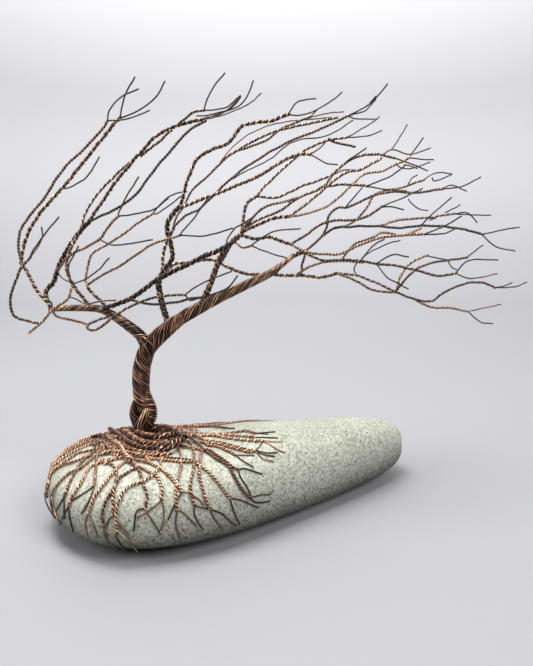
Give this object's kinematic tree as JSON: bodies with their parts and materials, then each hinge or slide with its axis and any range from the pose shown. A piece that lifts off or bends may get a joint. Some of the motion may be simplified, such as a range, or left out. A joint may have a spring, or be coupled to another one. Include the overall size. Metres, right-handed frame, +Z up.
{
  "type": "wire tree sculpture",
  "caption": "Windswept tree twisted from copper wire, its roots wound and draped over the beach pebble that it stands on.",
  "frame": {"origin": "middle of the small flat on the underside of the pebble, where it rests", "axes": "+Z up, +X along the longest extent, the way the crown is swept, -Y to the front"},
  "size_m": [0.1718, 0.0841, 0.1377],
  "materials": {
    "wire": "antique copper, dark brown with worn copper highlights",
    "pebble": "sea-worn fine speckled grey-green stone"
  },
  "bodies": {
    "root": {"bridge_twig": "wire", "bridging_rope": "wire", "cluster_back_branch": "wire", "cluster_back_twig": "wire", "cluster_centre_branch": "wire", "cluster_far_branch": "wire", "cluster_front_twig": "wire", "cluster_level_branch": "wire", "cluster_limb": "wire", "cluster_low_branch": "wire", "cluster_short_branch": "wire", "cluster_side_twig": "wire", "cluster_upper_branch": "wire", "crossing_rope": "wire", "left_crossing_branch": "wire", "left_drooping_twig": "wire", "left_front_branch": "wire", "left_inner_branch": "wire", "left_inner_twig": "wire", "left_limb": "wire", "left_lower_branch": "wire", "left_main_branch": "wire", "left_outer_branch": "wire", "left_rising_branch": "wire", "left_thin_branch": "wire", "low_looping_twig": "wire", "middle_back_branch": "wire", "middle_back_twig": "wire", "middle_front_branch": "wire", "middle_limb": "wire", "middle_outer_branch": "wire", "middle_right_branch": "wire", "middle_thin_twig": "wire", "pebble": "pebble", "right_back_twig": "wire", "right_far_twig": "wire", "right_hind_twig": "wire", "right_level_branch": "wire", "right_limb": "wire", "right_long_branch": "wire", "right_lower_branch": "wire", "right_lowest_twig": "wire", "right_middle_twig": "wire", "right_rising_twig": "wire", "right_short_twig": "wire", "right_upper_branch": "wire", "roots": "wire", "trunk": "wire"}
  },
  "joints": []
}
